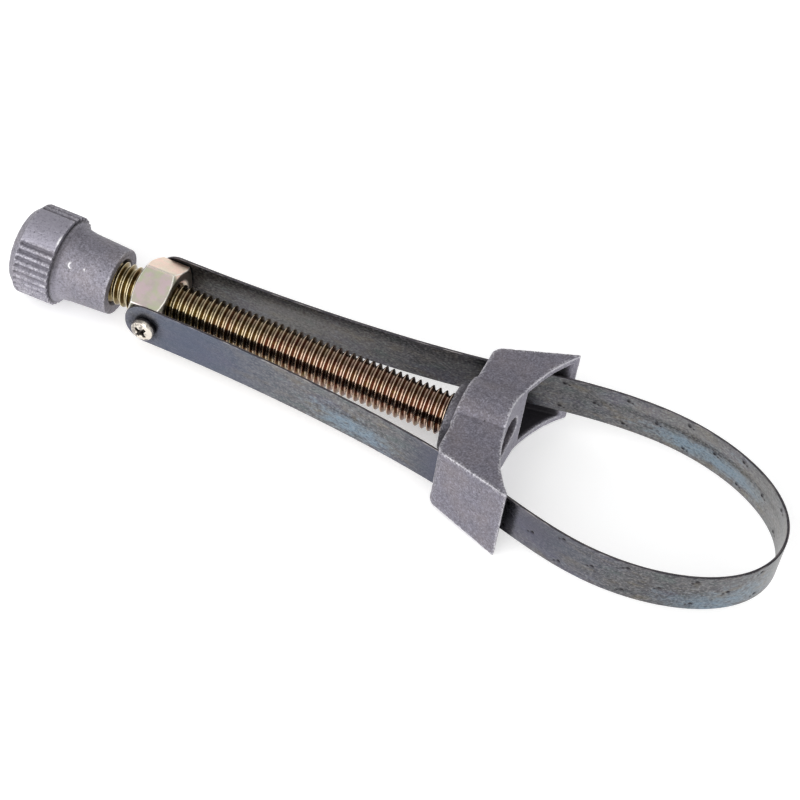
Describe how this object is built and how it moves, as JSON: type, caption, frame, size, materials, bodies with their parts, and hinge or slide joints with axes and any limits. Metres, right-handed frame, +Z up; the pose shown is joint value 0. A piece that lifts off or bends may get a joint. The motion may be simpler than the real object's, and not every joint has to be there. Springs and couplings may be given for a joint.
{
  "type": "oil filter wrench",
  "caption": "Strap oil filter wrench: a ribbed cast knob turns a long threaded screw whose hexagon nut pulls a blued steel strap loop through a flared cast saddle.",
  "frame": {"origin": "centre of the bounding box in plan, at its lowest point; the axis of the screw is 14.36 mm above it and 1.08 mm to the far side", "axes": "+X along the screw from the knob to the strap loop, +Z up across the width of the strap, +Y to the far arm"},
  "size_m": [0.2322, 0.058, 0.0287],
  "materials": {
    "saddle_cast": "matt sand-textured die casting, grey with a slight violet tone",
    "knob_cast": "matt sand-textured die casting, grey with a slight violet tone",
    "yellow_zinc": "yellow zinc plating, brown and gold with pink crests",
    "plain_steel": "plain steel",
    "dark_steel": "dark spring steel",
    "pale_zinc": "pale iridescent zinc plating",
    "blued_spring_steel": "blued spring steel with brown and pale blue patches",
    "nickel": "bright nickel plating"
  },
  "bodies": {
    "saddle": {"saddle_casting": "saddle_cast"},
    "screw": {"drive_screw": "yellow_zinc", "knob_casting": "knob_cast", "thrust_washer": "plain_steel", "retaining_ring": "dark_steel"},
    "nut": {"travelling_nut": "pale_zinc", "strap_band": "blued_spring_steel", "strap_screw_near": "nickel", "strap_screw_far": "nickel"}
  },
  "joints": [
    {"name": "screw_spin", "type": "hinge", "parent": "saddle", "child": "screw", "pos_m": [-0.1161, 0.00108, 0.01436], "axis": [-1, 0, 0], "range_deg": [0, 13058]},
    {"name": "nut_slide", "type": "slide", "parent": "saddle", "child": "nut", "axis": [1, 0, 0], "range_m": [0, 0.074]}
  ],
  "couplings": [
    {"joint": "nut_slide", "follows": "screw_spin", "m_per_rad": 0.00032468}
  ]
}
